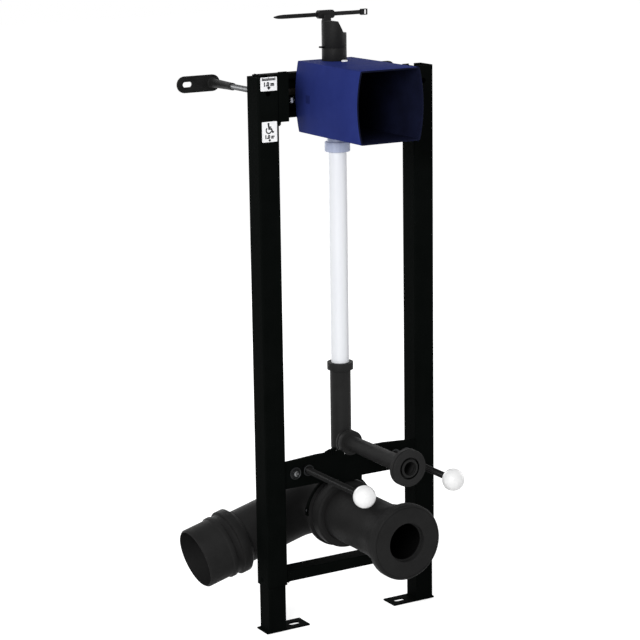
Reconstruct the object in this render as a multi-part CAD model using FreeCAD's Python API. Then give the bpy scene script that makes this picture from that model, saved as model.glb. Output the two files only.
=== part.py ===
import FreeCAD, Part
import math
import os

# Wall hung toilet frame with an exposed box for the flush valve.
# X runs from the left upright to the right one, -Y is the room side, +Z is up.
# Lengths are in millimetres. Shapes are drawn about the middle of the frame, with the front faces
# of the uprights at Y = 0 and the floor at Z = 0, and are moved on export so that the origin lies
# under the middle of the left foot plate.

V = FreeCAD.Vector
UP = V(0, 0, 1)
BACK = V(0, 1, 0)
RIGHT = V(1, 0, 0)
LEFT_HAND = -1
RIGHT_HAND = 1

# Uprights and the legs that slide in them
frame_width = 350.0
upright_side = 40.0
upright_wall = 2.5
upright_corner = 3.0
upright_foot_z = 86.0
upright_length = 897.0
leg_play = 0.25
leg_wall = 2.0
leg_corner = 2.0
leg_length = 327.0
foot_thickness = 3.0
foot_length = 87.0
foot_depth = 38.0
foot_overhang = 4.0
foot_setback = 4.0
foot_slot_length = 22.0
foot_slot_width = 11.0
foot_slot_inset = 22.0

# Heights of the bowl's connections, as bowls have them
rod_z = 289.5
rods_width = 180.0
flush_above_rods = 35.0
waste_below_rods = 100.0

# Lower crossbar and its end plates
lower_bar_height = 20.0
lower_bar_depth = 35.0
lower_bar_wall = 2.0
lower_bar_corner = 2.0
lower_bar_rise = 4.0
end_plate_thickness = 3.0
end_plate_height = 41.0
end_plate_chamfer = 8.0
end_plate_below_bar = 6.0

# Plate that carries the bowl, and its tongue over the waste socket
plate_thickness = 6.0
plate_end_height = 48.5
plate_below_rods = 28.5
plate_rise = 4.0
plate_shoulder_x = 70.0
tongue_width = 45.0
clamp_thickness = 2.5
plate_screw_inset = 20.5
plate_screw_drop = 2.5
plate_screw_dia = 8.0
plate_screw_length = 18.0
plate_screw_head_dia = 10.0
plate_screw_head_height = 4.0
plate_screw_washer_dia = 22.0
plate_screw_washer = 1.6
hole_play = 0.3

# Rods for the bowl
rod_dia = 12.0
rod_tail = 26.0
ball_dia = 39.0
ball_forward = 187.0
ball_bore_depth = 27.0
nut_across = 19.0
nut_height = 10.0
bush_dia = 20.0
bush_length = 6.0
bush_recess_dia = 15.0
bush_floor = 2.0

# Flush pipe and bend
flush_y = 36.5
flush_pipe_dia = 32.0
flush_pipe_wall = 2.0
flush_collar_z = 453.0
flush_collar_height = 13.0
flush_collar_dia = 46.3
flush_collar_neck = 1.5
flush_drop_dia = 36.8
flush_drop_round = 5.0
flush_wall = 2.5
flush_bead_dia = 44.0
flush_bead_length = 11.0
flush_groove_dia = 38.0
flush_groove_length = 2.0
flush_run_back_dia = 27.0
flush_run_front_dia = 30.0
flush_forward = 189.0
flush_ring_dia = 65.0
flush_ring_length = 13.5
flush_ring_round = 5.0
flush_seal_dia = 38.6
flush_seal_lip_dia = 32.0
flush_seal_bore = 24.0
flush_seal_out = 1.5
flush_seal_seat = 8.0
flush_seal_web = 3.0
flush_neck_dia = 35.0
flush_neck_height = 16.5
flush_nut_dia = 44.4
flush_nut_height = 17.0
flush_nut_edge = 1.0

# Waste connector and bend
waste_forward = 179.0
waste_wall = 3.5
waste_collar_dia = 134.0
waste_collar_length = 17.0
waste_collar_edge = 3.0
waste_flare_dia = 119.4
waste_flare_length = 70.0
waste_hole_dia = 69.0
waste_lip = 10.0
waste_front_dia = 99.0
waste_socket_dia = 125.0
waste_socket_start = 14.0
waste_socket_length = 26.0
waste_socket_round = 7.0
waste_socket_seat = 22.0
waste_groove_depth = 2.5
waste_groove_length = 3.0
waste_ring_dia = 132.0
waste_ring_length = 7.0
waste_ring_taper = 5.0
waste_pipe_dia = 98.0
waste_bend_radius = 62.0
waste_back_y = 122.0
pipe_play = 0.1
branch_fall = 15.0
branch_length = 264.0
branch_pipe_length = 170.0
branch_dia = 110.0
branch_cone_length = 10.0
branch_ring_dia = 120.0
branch_ring_length = 14.5
branch_rib_start = 208.5
branch_rib_dia = 115.0
branch_rib_length = 7.0
branch_step = 2.0
branch_chamfer_length = 3.0
branch_chamfer_depth = 2.5

# Box for the flush valve
box_forward = 137.0
box_back_y = 76.0
box_front_width = 113.0
box_back_width = 108.0
box_bulge = 9.0
box_below_top = 108.0
box_height = 123.0
box_wall = 3.0
flush_pipe_in_box = 6.0

# Rail behind the box, the arms that carry it and their brackets on the uprights
rail_below_top = 43.5
rail_height = 77.0
rail_depth = 22.0
rail_lip = 10.0
rail_thickness = 2.5
bracket_thickness = 3.0
bracket_reach = 19.5
bracket_chamfer = 3.0
bracket_setback = 0.5
bracket_front_rise = 51.0
bracket_front_drop = 33.5
bracket_side_rise = 38.5
bracket_side_drop = 40.5
arm_front_gap = 0.5

# Water inlet on the box
inlet_y = 43.0
inlet_dia = 43.0
inlet_wall = 3.0
inlet_base_height = 23.0
cap_collar_height = 24.0
cap_height = 45.0
cap_ledge_x = 7.7
cap_slope_x = -4.0
cap_seam = 0.8
cap_tab_length = 7.0
cap_tab_width = 8.0
cap_tab_height = 1.4
post_width = 14.0
post_depth = 8.0
tie_block_width = 33.0
tie_block_height = 14.0
tie_block_depth = 9.0
tie_block_chamfer = 3.0
tie_block_gap = 2.0
tie_width = 7.0
tie_thickness = 1.6
tie_play = 0.15
tie_tail = 105.0
tie_point_length = 27.0
tie_point_width = 2.0
tie_reach = 71.0
tie_head_length = 13.5
tie_head_height = 10.6
tie_head_depth = 4.0
tie_eye_length = 5.0
tie_eye_height = 8.0
tie_eye_wall = 1.2

# Wall anchors
anchor_below_top = 27.0
anchor_rod_dia = 10.0
anchor_rod_inset = 24.0
anchor_rod_length = 150.0
anchor_nut_across = 17.0
anchor_nut_height = 8.0
anchor_plate_length = 83.0
anchor_plate_height = 29.0
anchor_plate_thickness = 4.0
wall_y = 204.0
sleeve_length = 76.0
sleeve_tip_dia = 13.0
sleeve_root_dia = 16.0
sleeve_tip_ring = 3.0
sleeve_floor = 4.0
anchor_slot_length = 18.5
anchor_slot_width = 9.5
anchor_slot_inset = 5.0
key_notch_play = 1.0

# Values that follow
side_x = frame_width / 2 - upright_side / 2
inner_x = frame_width / 2 - upright_side
upright_top_z = upright_foot_z + upright_length
leg_side = upright_side - 2 * upright_wall - 2 * leg_play
leg_y = upright_side / 2
foot_outer_x = side_x + leg_side / 2 + foot_overhang
foot_centre_x = foot_outer_x - foot_length / 2
foot_centre_y = foot_setback + foot_depth / 2
origin = V(-foot_centre_x, foot_centre_y, 0)
flush_z = rod_z + flush_above_rods
waste_z = rod_z - waste_below_rods
lower_bar_z = upright_foot_z + lower_bar_rise
plate_front_y = upright_corner
plate_back_y = plate_front_y + plate_thickness
plate_low_z = rod_z - plate_below_rods
plate_screw_x = inner_x - plate_screw_inset
plate_screw_z = rod_z - plate_screw_drop
waste_ring_y = waste_socket_start + waste_socket_length + waste_groove_length
box_bottom_z = upright_top_z - box_below_top
box_top_z = box_bottom_z + box_height
rail_z = upright_top_z - rail_below_top
rail_low_z = rail_z - rail_height / 2
rail_high_z = rail_z + rail_height / 2
rail_back_y = box_back_y + rail_depth
arm_x = inner_x - bracket_thickness
rail_end_x = arm_x - rail_thickness
cap_low_z = box_top_z + inlet_base_height
tie_block_z = cap_low_z + cap_height + tie_block_gap
tie_z = tie_block_z + tie_block_height / 2
post_front_y = inlet_y + inlet_dia / 2 - 1
tie_y = post_front_y + post_depth
anchor_z = upright_top_z - anchor_below_top
anchor_rod_end_y = anchor_rod_inset + anchor_rod_length
plate_y = wall_y - anchor_plate_thickness
sleeve_tip_y = plate_y - sleeve_length
branch_dir = V(-math.cos(math.radians(branch_fall)), 0, -math.sin(math.radians(branch_fall)))
branch_side = V(branch_dir.z, 0, -branch_dir.x)
corner_point = V(0, waste_back_y, waste_z)


def box(x0, x1, y0, y1, z0, z1):
    return Part.makeBox(abs(x1 - x0), y1 - y0, z1 - z0, V(min(x0, x1), y0, z0))


def rod(diameter, start, end):
    return Part.makeCylinder(diameter / 2, (end - start).Length, start, end - start)


def rod_along_y(diameter, x, z, y0, y1):
    return rod(diameter, V(x, y0, z), V(x, y1, z))


def rod_up(diameter, x, y, z0, z1):
    return rod(diameter, V(x, y, z0), V(x, y, z1))


def prism(corners, thickness):
    # a closed outline of points, pushed out along a vector
    return Part.Face(Part.makePolygon(corners + corners[:1])).extrude(thickness)


def turned(profile, start, axis, side):
    # a closed outline of (distance along the axis, radius), turned about the axis
    points = [start + axis * s + side * r for s, r in profile]
    return Part.Face(Part.makePolygon(points + points[:1])).revolve(start, axis, 360)


def edges_along(shape, direction):
    return [e for e in shape.Edges if e.Curve.TypeId == "Part::GeomLine"
            and abs(abs(e.tangentAt(e.FirstParameter).dot(direction)) - 1) < 1e-6]


def save(shape, name):
    moved = shape.copy()
    moved.translate(V(0, 0, 0) - origin)
    moved.exportStep("parts/" + name + ".step")


def square_tube(x, y, side, wall, corner, z0, z1):
    half = side / 2
    outer = box(x - half, x + half, y - half, y + half, z0, z1)
    outer = outer.makeFillet(corner, edges_along(outer, UP))
    inner = half - wall
    bore = box(x - inner, x + inner, y - inner, y + inner, z0, z1)
    bore = bore.makeFillet(max(corner - wall, leg_play), edges_along(bore, UP))
    return outer.cut(bore)


def stadium(a, b, radius, normal):
    # outline of two half circles about a and b joined by straight sides
    along = (b - a).normalize() * radius
    side = normal.cross(along)
    return Part.Wire([Part.makeLine(a + side, b + side), Part.Arc(b + side, b + along, b - side).toShape(),
                      Part.makeLine(b - side, a - side), Part.Arc(a - side, a - along, a + side).toShape()])


def upright(hand):
    x = hand * side_x
    tube = square_tube(x, leg_y, upright_side, upright_wall, upright_corner, upright_foot_z, upright_top_z)
    # slot in the back wall, open at the top, that the anchor's rod drops into
    width = anchor_rod_dia + key_notch_play
    y0 = upright_side - 2 * upright_wall
    y1 = upright_side + upright_wall
    notch = box(x - width / 2, x + width / 2, y0, y1, anchor_z, upright_top_z)
    notch = notch.fuse(rod_along_y(width, x, anchor_z, y0, y1))
    key_hole = rod_along_y(anchor_rod_dia, x, anchor_z, -upright_wall, 2 * upright_wall)
    return tube.cut([notch, key_hole])


def leg(hand):
    return square_tube(hand * side_x, leg_y, leg_side, leg_wall, leg_corner, foot_thickness,
                       foot_thickness + leg_length)


def foot_plate(hand):
    x = hand * foot_centre_x
    half_x = foot_length / 2
    half_y = foot_depth / 2
    plate = box(x - half_x, x + half_x, foot_centre_y - half_y, foot_centre_y + half_y, 0, foot_thickness)
    slot_x = x - hand * (half_x - foot_slot_inset)
    half = (foot_slot_length - foot_slot_width) / 2
    near = V(slot_x - half, foot_centre_y, 0)
    wire = stadium(near, near + RIGHT * 2 * half, foot_slot_width / 2, UP)
    return plate.cut(Part.Face(wire).extrude(V(0, 0, foot_thickness)))


def lower_crossbar():
    x = inner_x - end_plate_thickness
    half = lower_bar_depth / 2
    z1 = lower_bar_z + lower_bar_height
    outer = box(-x, x, leg_y - half, leg_y + half, lower_bar_z, z1)
    outer = outer.makeFillet(lower_bar_corner, edges_along(outer, RIGHT))
    wall = lower_bar_wall
    inner = half - wall
    return outer.cut(box(-x, x, leg_y - inner, leg_y + inner, lower_bar_z + wall, z1 - wall))


def end_plate(hand):
    y0 = upright_corner
    y1 = upright_side - upright_corner
    z0 = lower_bar_z - end_plate_below_bar
    z1 = z0 + end_plate_height
    c = end_plate_chamfer
    outline = [(y0, z0 + c), (y0 + c, z0), (y1 - c, z0), (y1, z0 + c), (y1, z1 - c), (y1 - c, z1),
               (y0 + c, z1), (y0, z1 - c)]
    return prism([V(hand * inner_x, y, z) for y, z in outline], V(-hand * end_plate_thickness, 0, 0))


def mounting_plate():
    low = plate_low_z
    high = low + plate_end_height
    top = high + plate_rise
    tongue = tongue_width / 2
    band = waste_ring_dia + 2 * clamp_thickness
    outline = [(-inner_x, low), (-tongue, low), (-tongue, waste_z), (tongue, waste_z), (tongue, low),
               (inner_x, low), (inner_x, high), (plate_shoulder_x, top), (-plate_shoulder_x, top),
               (-inner_x, high)]
    plate = prism([V(x, plate_front_y, z) for x, z in outline], V(0, plate_thickness, 0))
    # the tongue bends back as a curved strip and ends in a half round clamp over the ring of the bend
    y0 = plate_front_y
    y1 = waste_ring_y
    y2 = y1 + waste_ring_length
    strip = rod_along_y(band, 0, waste_z, y0, y1)
    strip = strip.common(box(-tongue, tongue, y0, y1, waste_z, waste_z + band))
    clamp = rod_along_y(band, 0, waste_z, y1, y2)
    clamp = clamp.common(box(-band, band, y1, y2, waste_z, waste_z + band))
    plate = plate.fuse([strip, clamp])
    cuts = [rod_along_y(waste_ring_dia, 0, waste_z, y0, y2),
            rod_along_y(flush_bead_dia + 2 * hole_play, 0, flush_z, y0, plate_back_y)]
    for hand in (LEFT_HAND, RIGHT_HAND):
        cuts.append(rod_along_y(rod_dia + 2 * hole_play, hand * rods_width / 2, rod_z, y0, plate_back_y))
        cuts.append(rod_along_y(plate_screw_dia + 2 * hole_play, hand * plate_screw_x, plate_screw_z, y0,
                                plate_back_y))
    return plate.cut(cuts)


def hexagon_nut(x, z, y0, y1, across, bore):
    corner = math.radians(60)
    radius = across / 2 / math.cos(corner / 2)
    angles = [corner * i for i in range(6)]
    corners = [V(x + radius * math.cos(a), y0, z + radius * math.sin(a)) for a in angles]
    return prism(corners, V(0, y1 - y0, 0)).cut(rod_along_y(bore, x, z, y0, y1))


def bowl_rod(hand):
    y0 = -ball_forward + ball_dia / 2 - ball_bore_depth
    return rod_along_y(rod_dia, hand * rods_width / 2, rod_z, y0, rod_tail)


def rod_nuts(hand):
    # round bush with a recess round the rod in front of the plate, hexagon nut behind it
    x = hand * rods_width / 2
    bush_y = plate_front_y - bush_length
    bush = rod_along_y(bush_dia, x, rod_z, bush_y, plate_front_y)
    recess = rod_along_y(bush_recess_dia, x, rod_z, bush_y, plate_front_y - bush_floor)
    bush = bush.cut([recess, rod_along_y(rod_dia, x, rod_z, bush_y, plate_front_y)])
    nut = hexagon_nut(x, rod_z, plate_back_y, plate_back_y + nut_height, nut_across, rod_dia)
    return Part.makeCompound([bush, nut])


def ball(hand):
    x = hand * rods_width / 2
    back = -ball_forward + ball_dia / 2
    sphere = Part.makeSphere(ball_dia / 2, V(x, -ball_forward, rod_z))
    return sphere.cut(rod_along_y(rod_dia, x, rod_z, back - ball_bore_depth, back))


def plate_screw(hand):
    x = hand * plate_screw_x
    washer_y = plate_front_y - plate_screw_washer
    head_y = washer_y - plate_screw_head_height
    z = plate_screw_z
    head = rod_along_y(plate_screw_head_dia, x, z, head_y, washer_y)
    front = [e for e in head.Edges if abs(e.BoundBox.Center.y - head_y) < 1e-6]
    head = head.makeFillet(plate_screw_head_height * 0.6, front)
    washer = rod_along_y(plate_screw_washer_dia, x, z, washer_y, plate_front_y)
    shank = rod_along_y(plate_screw_dia, x, z, plate_front_y, plate_front_y + plate_screw_length)
    return head.fuse([washer, shank])


def pipe_along(start, corner, end, diameter, radius):
    # a solid round bar along two straight runs joined by a tangent arc about the corner
    u = (corner - start).normalize()
    v = (end - corner).normalize()
    half_turn = math.acos(u.dot(v)) / 2
    reach = radius * math.tan(half_turn)
    p = corner - u * reach
    q = corner + v * reach
    inward = (v - u).normalize()
    middle = corner + inward * (radius / math.cos(half_turn) - radius)
    path = Part.Wire([Part.makeLine(start, p), Part.Arc(p, middle, q).toShape(), Part.makeLine(q, end)])
    ring = Part.Wire([Part.Circle(start, u, diameter / 2).toShape()])
    return path.makePipeShell([ring], True, False)


def flush_pipe():
    z0 = flush_collar_z
    z1 = box_bottom_z + box_wall + flush_pipe_in_box
    bore = flush_pipe_dia - 2 * flush_pipe_wall
    return rod_up(flush_pipe_dia, 0, flush_y, z0, z1).cut(rod_up(bore, 0, flush_y, z0, z1))


def flush_nut():
    # threaded neck below the box with the union nut under it
    neck = flush_neck_dia / 2
    r = flush_nut_dia / 2
    bore = flush_pipe_dia / 2
    top = flush_neck_height
    low = top + flush_nut_height
    edge = flush_nut_edge
    profile = [(0, bore), (0, neck), (top, neck), (top, r - edge), (top + edge, r), (low - edge, r),
               (low, r - edge), (low, bore)]
    return turned(profile, V(0, flush_y, box_bottom_z), UP * -1, RIGHT)


def flush_bend():
    # collar and drop, closed at the foot
    collar_r = flush_collar_dia / 2
    drop_r = flush_drop_dia / 2
    top = flush_collar_z - flush_collar_neck
    neck = [(-flush_collar_neck, 0), (-flush_collar_neck, drop_r), (0, collar_r),
            (flush_collar_height, collar_r), (flush_collar_height, 0)]
    outer = turned(neck, V(0, flush_y, flush_collar_z), UP, RIGHT)
    foot_z = flush_z - drop_r
    drop = rod_up(flush_drop_dia, 0, flush_y, foot_z, top)
    foot_edge = [e for e in drop.Edges if abs(e.BoundBox.Center.z - foot_z) < 1e-6]
    drop = drop.makeFillet(flush_drop_round, foot_edge)
    # outlet from the drop, two beads with a groove between them and the tapered run
    bead_r = flush_bead_dia / 2
    groove_r = flush_groove_dia / 2
    back_r = flush_run_back_dia / 2
    front_r = flush_run_front_dia / 2
    run_end = flush_forward - flush_seal_seat
    front = V(0, 0, flush_z)
    groove = -flush_bead_length - flush_groove_length
    start = groove - flush_bead_length / 2
    profile = [(-flush_y, 0), (-flush_y, back_r), (start, back_r), (start, bead_r), (groove, bead_r),
               (groove, groove_r), (-flush_bead_length, groove_r), (-flush_bead_length, bead_r), (0, bead_r),
               (0, back_r), (run_end, front_r), (run_end, 0)]
    outer = outer.fuse([drop, turned(profile, front, BACK * -1, UP)])
    # bores
    bore_r = drop_r - flush_wall
    bore = rod_up(2 * bore_r, 0, flush_y, flush_z - bore_r, flush_collar_z)
    bore = bore.fuse(rod_up(flush_pipe_dia, 0, flush_y, flush_collar_z, flush_collar_z + flush_collar_height))
    run_bore = [(-flush_y, 0), (-flush_y, back_r - flush_wall), (0, back_r - flush_wall),
                (run_end, front_r - flush_wall), (run_end, 0)]
    return outer.cut([bore, turned(run_bore, front, BACK * -1, UP)])


def flush_connector():
    y0 = -flush_forward
    y1 = y0 + flush_ring_length
    body = rod_along_y(flush_ring_dia, 0, flush_z, y0, y1)
    body = body.makeFillet(flush_ring_round, [e for e in body.Edges if abs(e.BoundBox.Center.y - y0) < 1e-6])
    seat = y0 + flush_seal_seat
    body = body.cut(rod_along_y(flush_run_front_dia, 0, flush_z, seat, y1))
    return body.cut(rod_along_y(flush_seal_dia, 0, flush_z, y0, seat))


def flush_seal():
    r = flush_seal_dia / 2
    lip = flush_seal_lip_dia / 2
    bore = flush_seal_bore / 2
    length = flush_seal_out + flush_seal_seat
    profile = [(0, bore), (0, lip - flush_seal_out), (flush_seal_out, lip), (length - flush_seal_web, lip),
               (length - flush_seal_web, r), (length, r), (length, bore)]
    return turned(profile, V(0, -flush_forward - flush_seal_out, flush_z), BACK, UP)


def waste_collar():
    # thick front ring, a neck that flares down to the pipe along a smooth curve, and the pipe
    r_out = waste_collar_dia / 2
    r_hole = waste_hole_dia / 2
    r_pipe = waste_front_dia / 2
    r_flare = waste_flare_dia / 2
    c = waste_collar_length
    flare_end = c + waste_flare_length
    middle = c + waste_flare_length / 2
    end = waste_forward + waste_socket_start + waste_socket_seat
    start = V(0, -waste_forward, waste_z)
    poles = [(c, r_flare), (middle, r_flare), (middle, r_pipe), (flare_end, r_pipe)]
    curve = Part.BezierCurve()
    curve.setPoles([start + BACK * y + UP * r for y, r in poles])
    rest = [(flare_end, r_pipe), (end, r_pipe), (end, r_pipe - waste_wall), (flare_end, r_pipe - waste_wall),
            (c, r_flare - waste_wall), (waste_lip, r_flare - waste_wall), (waste_lip, r_hole), (0, r_hole),
            (0, r_out - waste_collar_edge), (waste_collar_edge, r_out), (c, r_out), (c, r_flare)]
    lines = Part.makePolygon([start + BACK * y + UP * r for y, r in rest])
    return Part.Face(Part.Wire([curve.toShape()] + lines.Edges)).revolve(start, BACK, 360)


def waste_bend():
    pipe_r = waste_pipe_dia / 2
    ring_r = waste_ring_dia / 2
    groove_r = waste_socket_dia / 2 - waste_groove_depth
    # socket with rounded shoulders, a groove and the clamped ring behind it
    start = V(0, waste_socket_start, waste_z)
    middle = waste_socket_length / 2
    socket = rod_along_y(waste_socket_dia, 0, waste_z, start.y, start.y + waste_socket_length)
    shoulders = [e for e in socket.Edges if e.Curve.TypeId == "Part::GeomCircle"]
    socket = socket.makeFillet(waste_socket_round, shoulders)
    ring = waste_ring_y - start.y
    ring_end = ring + waste_ring_length
    taper_end = ring_end + waste_ring_taper
    rear = [(middle, 0), (middle, groove_r), (ring, groove_r), (ring, ring_r), (ring_end, ring_r),
            (taper_end, pipe_r), (taper_end, 0)]
    bend_start = start + BACK * middle
    bend_end = corner_point + branch_dir * branch_pipe_length
    outer = pipe_along(bend_start, corner_point, bend_end, waste_pipe_dia, waste_bend_radius)
    outer = outer.fuse([socket, turned(rear, start, BACK, UP)])
    bore_dia = waste_pipe_dia - 2 * waste_wall
    bore = pipe_along(start, corner_point, bend_end + branch_dir * waste_wall, bore_dia, waste_bend_radius)
    seat = rod_along_y(waste_front_dia + 2 * pipe_play, 0, waste_z, start.y - waste_wall,
                       start.y + waste_socket_seat)
    return outer.cut(bore).cut(seat)


def branch_reducer():
    # cone from the branch pipe up to a ring, a rib, and the plain end with its chamfer
    r_pipe = waste_pipe_dia / 2
    r_end = branch_dia / 2
    r_ring = branch_ring_dia / 2
    r_rib = branch_rib_dia / 2
    start = branch_pipe_length
    ring = start + branch_cone_length
    ring_end = ring + branch_ring_length
    rib = branch_rib_start
    rib_end = rib + branch_rib_length
    step = branch_step
    chamfer = branch_length - branch_chamfer_length
    bore = r_end - waste_wall
    profile = [(start, r_pipe - waste_wall), (start, r_pipe), (ring, r_ring), (ring_end, r_ring),
               (ring_end + step, r_end), (rib - step, r_end), (rib, r_rib), (rib_end, r_rib),
               (rib_end + step, r_end), (chamfer, r_end), (branch_length, r_end - branch_chamfer_depth),
               (branch_length, bore), (ring, bore)]
    return turned(profile, corner_point, branch_dir, branch_side)


def box_outline(width, y, z0, z1):
    # flat floor and top, with side walls that bow outwards
    h = width / 2
    zm = (z0 + z1) / 2
    edges = [Part.makeLine(V(-h, y, z0), V(h, y, z0)),
             Part.Arc(V(h, y, z0), V(h + box_bulge, y, zm), V(h, y, z1)).toShape(),
             Part.makeLine(V(h, y, z1), V(-h, y, z1)),
             Part.Arc(V(-h, y, z1), V(-h - box_bulge, y, zm), V(-h, y, z0)).toShape()]
    return Part.Wire(edges)


def box_solid(inset, y0, y1):
    z0 = box_bottom_z + inset
    z1 = box_top_z - inset
    front = box_outline(box_front_width - 2 * inset, y0, z0, z1)
    back = box_outline(box_back_width - 2 * inset, y1, z0, z1)
    return Part.makeLoft([front, back], True)


def valve_box():
    shell = box_solid(0, -box_forward, box_back_y)
    shell = shell.cut(box_solid(box_wall, -box_forward, box_back_y - box_wall))
    floor_hole = rod_up(flush_pipe_dia, 0, flush_y, box_bottom_z, box_bottom_z + box_wall)
    top_hole = rod_up(inlet_dia - 2 * inlet_wall, 0, inlet_y, box_top_z - box_wall, box_top_z)
    return shell.cut([floor_hole, top_hole])


def box_bracket(hand):
    # angle with one leg facing the room and the other on the upright's inner face; the right one is the
    # same piece turned end for end
    x0 = hand * inner_x
    x1 = hand * (inner_x - bracket_reach)
    y0 = bracket_setback
    y1 = upright_side - upright_corner
    c = bracket_chamfer
    front = [(x0, -bracket_front_drop), (x1, -bracket_front_drop), (x1, bracket_front_rise - c),
             (x1 + hand * c, bracket_front_rise), (x0, bracket_front_rise)]
    side = [(y0, c - bracket_side_drop), (y0 + c, -bracket_side_drop), (y1, -bracket_side_drop),
            (y1, bracket_side_rise), (y0, bracket_side_rise)]
    front_leg = prism([V(x, y0, rail_z - hand * z) for x, z in front], V(0, bracket_thickness, 0))
    side_leg = prism([V(x0, y, rail_z - hand * z) for y, z in side], V(-hand * bracket_thickness, 0, 0))
    return front_leg.fuse(side_leg)


def box_arm(hand):
    # flat plate from the bracket back to the end of the rail
    front = bracket_setback + bracket_thickness + arm_front_gap
    return box(hand * arm_x, hand * rail_end_x, front, rail_back_y, rail_low_z, rail_high_z)


def box_rail():
    # channel behind the box, open towards the room, with a lip along each edge
    x = rail_end_x
    t = rail_thickness
    y0 = box_back_y
    y1 = rail_back_y
    web = box(-x, x, y1 - t, y1, rail_low_z, rail_high_z)
    walls = [box(-x, x, y0, y1, rail_low_z, rail_low_z + t),
             box(-x, x, y0, y1, rail_high_z - t, rail_high_z),
             box(-x, x, y0, y0 + t, rail_low_z, rail_low_z + rail_lip),
             box(-x, x, y0, y0 + t, rail_high_z - rail_lip, rail_high_z)]
    return web.fuse(walls)


def inlet_base():
    bore = inlet_dia - 2 * inlet_wall
    base = rod_up(inlet_dia, 0, inlet_y, box_top_z, cap_low_z)
    seam = rod_up(inlet_dia, 0, inlet_y, cap_low_z - cap_seam, cap_low_z)
    seam = seam.cut(rod_up(inlet_dia - cap_seam, 0, inlet_y, cap_low_z - cap_seam, cap_low_z))
    return base.cut([rod_up(bore, 0, inlet_y, box_top_z, cap_low_z), seam])


def cap_form(inset):
    r = inlet_dia / 2 - inset
    ledge = cap_low_z + cap_collar_height - inset
    top = cap_low_z + cap_height - inset
    outline = [(-r, cap_low_z), (r, cap_low_z), (r, ledge), (cap_ledge_x - inset, ledge),
               (cap_slope_x - inset, top), (-r, top)]
    slab = prism([V(x, inlet_y - r, z) for x, z in outline], V(0, 2 * r, 0))
    return slab.common(rod_up(2 * r, 0, inlet_y, cap_low_z, top))


def inlet_cap():
    body = cap_form(0)
    x1 = -inlet_dia / 2 + inlet_wall
    half = cap_tab_width / 2
    tab = box(x1 - inlet_wall - cap_tab_length, x1, inlet_y - half, inlet_y + half, cap_low_z,
              cap_low_z + cap_tab_height)
    return body.fuse(tab).cut(cap_form(inlet_wall))


def tie_post():
    half = post_width / 2
    post = box(-half, half, post_front_y, tie_y, box_top_z, tie_z)
    post = post.cut(rod_up(inlet_dia, 0, inlet_y, box_top_z, tie_z))
    c = tie_block_chamfer
    w = tie_block_width / 2
    z0 = tie_block_z
    z1 = z0 + tie_block_height
    y0 = tie_y - tie_block_depth / 2
    outline = [(-w + c, z0), (w - c, z0), (w, z0 + c), (w, z1 - c), (w - c, z1), (-w + c, z1), (-w, z1 - c),
               (-w, z0 + c)]
    block = prism([V(x, y0, z) for x, z in outline], V(0, tie_block_depth, 0))
    slit_z = tie_width / 2 + tie_play
    slit_y = tie_thickness / 2 + tie_play
    return block.fuse(post).cut(box(-w, w, tie_y - slit_y, tie_y + slit_y, tie_z - slit_z, tie_z + slit_z))


def cable_tie():
    # strap with a pointed tail, and its head with the eye
    t = tie_thickness / 2
    w = tie_width / 2
    p = tie_point_width / 2
    x0 = -tie_tail
    full = x0 + tie_point_length
    outline = [(x0, p), (x0, -p), (full, -w), (tie_reach, -w), (tie_reach, w), (full, w)]
    strap = prism([V(x, tie_y - t, tie_z + z) for x, z in outline], V(0, tie_thickness, 0))
    d = tie_head_depth / 2
    h = tie_head_height / 2
    x1 = tie_reach + tie_head_length
    head = box(tie_reach, x1, tie_y - d, tie_y + d, tie_z - h, tie_z + h)
    eye_x = x1 - tie_eye_wall
    eye = box(eye_x - tie_eye_length, eye_x, tie_y - d, tie_y + d, tie_z - tie_eye_height / 2,
              tie_z + tie_eye_height / 2)
    return strap.fuse(head).cut(eye)


def anchor_rod(hand):
    return rod_along_y(anchor_rod_dia, hand * side_x, anchor_z, anchor_rod_inset, anchor_rod_end_y)


def anchor_nuts(hand):
    x = hand * side_x
    inner_y = upright_side - upright_wall
    rear = hexagon_nut(x, anchor_z, upright_side, upright_side + anchor_nut_height, anchor_nut_across,
                       anchor_rod_dia)
    front = hexagon_nut(x, anchor_z, inner_y - anchor_nut_height, inner_y, anchor_nut_across, anchor_rod_dia)
    return Part.makeCompound([rear, front])


def anchor_sleeve(hand):
    tip = sleeve_tip_dia / 2
    root = sleeve_root_dia / 2
    bore = anchor_rod_dia / 2 + pipe_play
    depth = sleeve_length - sleeve_floor
    profile = [(0, bore), (0, tip), (sleeve_tip_ring, tip), (sleeve_tip_ring, tip - pipe_play),
               (sleeve_length, root), (sleeve_length, 0), (depth, 0), (depth, bore)]
    return turned(profile, V(hand * side_x, sleeve_tip_y, anchor_z), BACK, UP)


def anchor_plate(hand):
    near = V(hand * side_x, plate_y, anchor_z)
    far = near + RIGHT * hand * (anchor_plate_length - anchor_plate_height)
    outline = stadium(near, far, anchor_plate_height / 2, BACK)
    slot_centre = far - RIGHT * hand * anchor_slot_inset
    half = RIGHT * ((anchor_slot_length - anchor_slot_width) / 2)
    slot = stadium(slot_centre - half, slot_centre + half, anchor_slot_width / 2, BACK)
    depth = V(0, anchor_plate_thickness, 0)
    return Part.Face(outline).extrude(depth).cut(Part.Face(slot).extrude(depth))


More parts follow.
